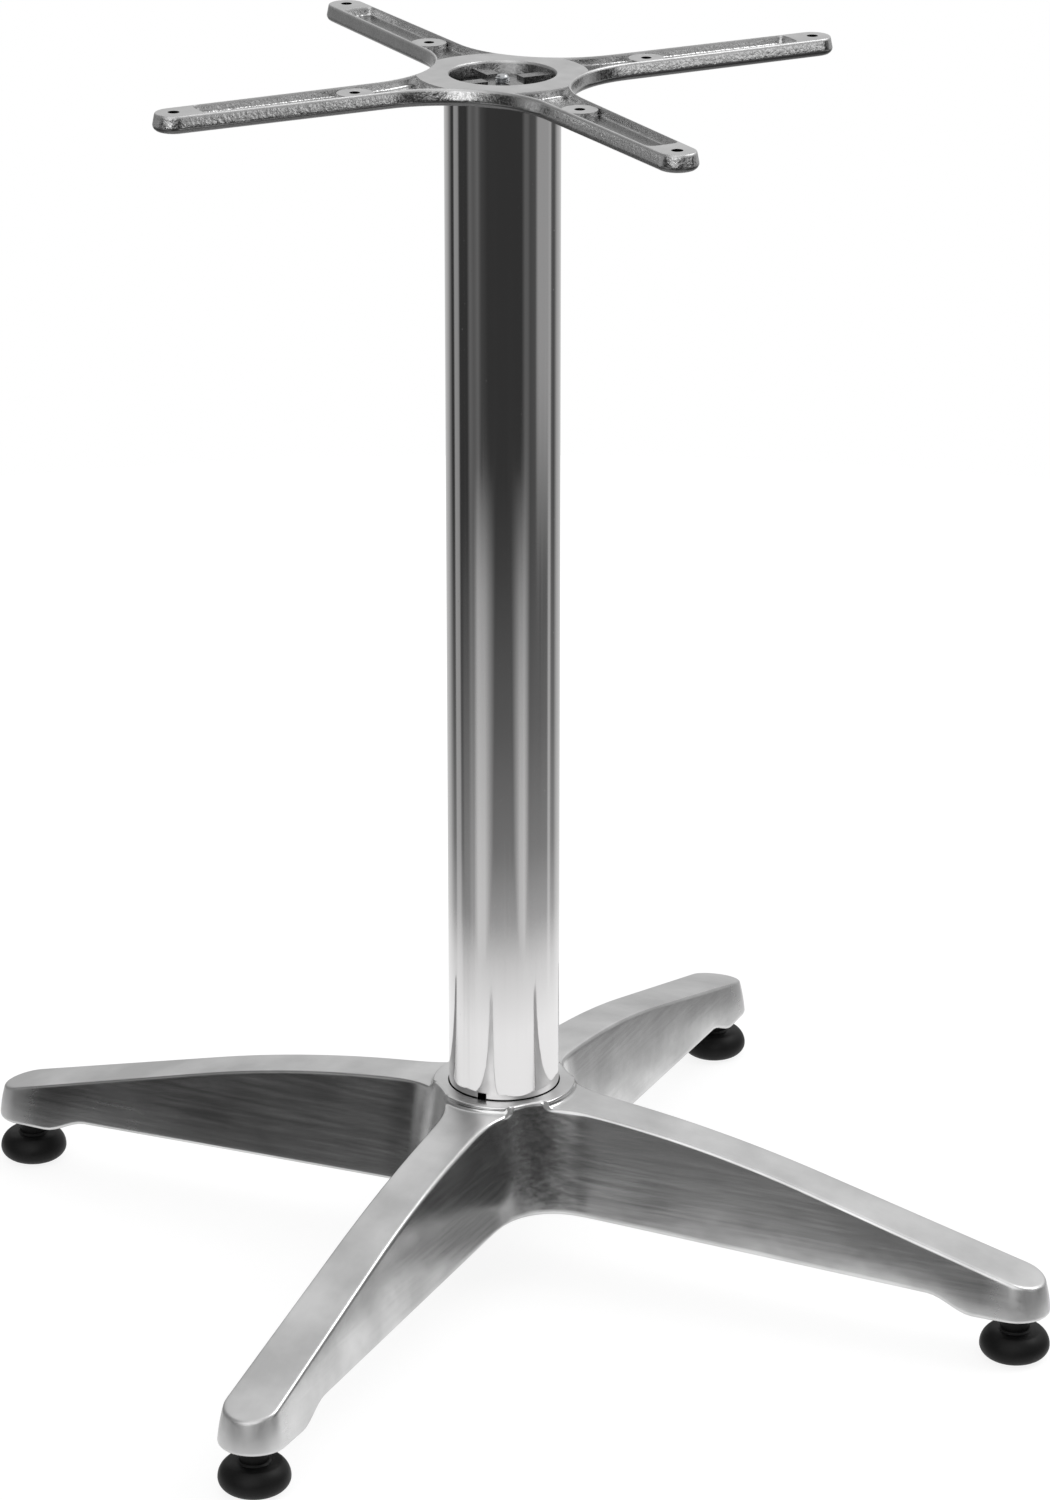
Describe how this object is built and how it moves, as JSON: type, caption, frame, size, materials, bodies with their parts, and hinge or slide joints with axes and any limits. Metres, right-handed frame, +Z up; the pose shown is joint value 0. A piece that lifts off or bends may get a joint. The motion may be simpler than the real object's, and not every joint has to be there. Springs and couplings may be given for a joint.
{
  "type": "pedestal table base",
  "caption": "Cast aluminium pedestal table base: curved splayed legs on black levelling feet, a round column and a channelled cross-shaped top plate that screws under a table top.",
  "frame": {"origin": "on the floor, under the axis of the column", "axes": "+Z up along the column; the legs lie along X and Y, the front leg towards -Y"},
  "size_m": [0.6876, 0.6876, 0.72],
  "materials": {
    "base_aluminium": "polished casting, soft reflections",
    "column_aluminium": "polished tube, clear reflections",
    "spider_aluminium": "raw shot-blasted casting",
    "zinc_steel": "bright zinc plated",
    "foot_plastic": "black moulded plastic"
  },
  "bodies": {
    "stand": {"base_casting": "base_aluminium", "column_tube": "column_aluminium", "top_spider": "spider_aluminium", "tie_rod": "zinc_steel", "clamp_nut": "zinc_steel", "clamp_spring_washer": "zinc_steel", "clamp_flat_washer": "zinc_steel"},
    "front_foot": {"front_foot_pad": "foot_plastic", "front_foot_stud": "zinc_steel"},
    "right_foot": {"right_foot_pad": "foot_plastic", "right_foot_stud": "zinc_steel"},
    "back_foot": {"back_foot_pad": "foot_plastic", "back_foot_stud": "zinc_steel"},
    "left_foot": {"left_foot_pad": "foot_plastic", "left_foot_stud": "zinc_steel"}
  },
  "joints": [
    {"name": "front_foot_level", "type": "slide", "parent": "stand", "child": "front_foot", "axis": [0, 0, -1], "range_m": [0, 0.01]},
    {"name": "right_foot_level", "type": "slide", "parent": "stand", "child": "right_foot", "axis": [0, 0, -1], "range_m": [0, 0.01]},
    {"name": "back_foot_level", "type": "slide", "parent": "stand", "child": "back_foot", "axis": [0, 0, -1], "range_m": [0, 0.01]},
    {"name": "left_foot_level", "type": "slide", "parent": "stand", "child": "left_foot", "axis": [0, 0, -1], "range_m": [0, 0.01]}
  ]
}
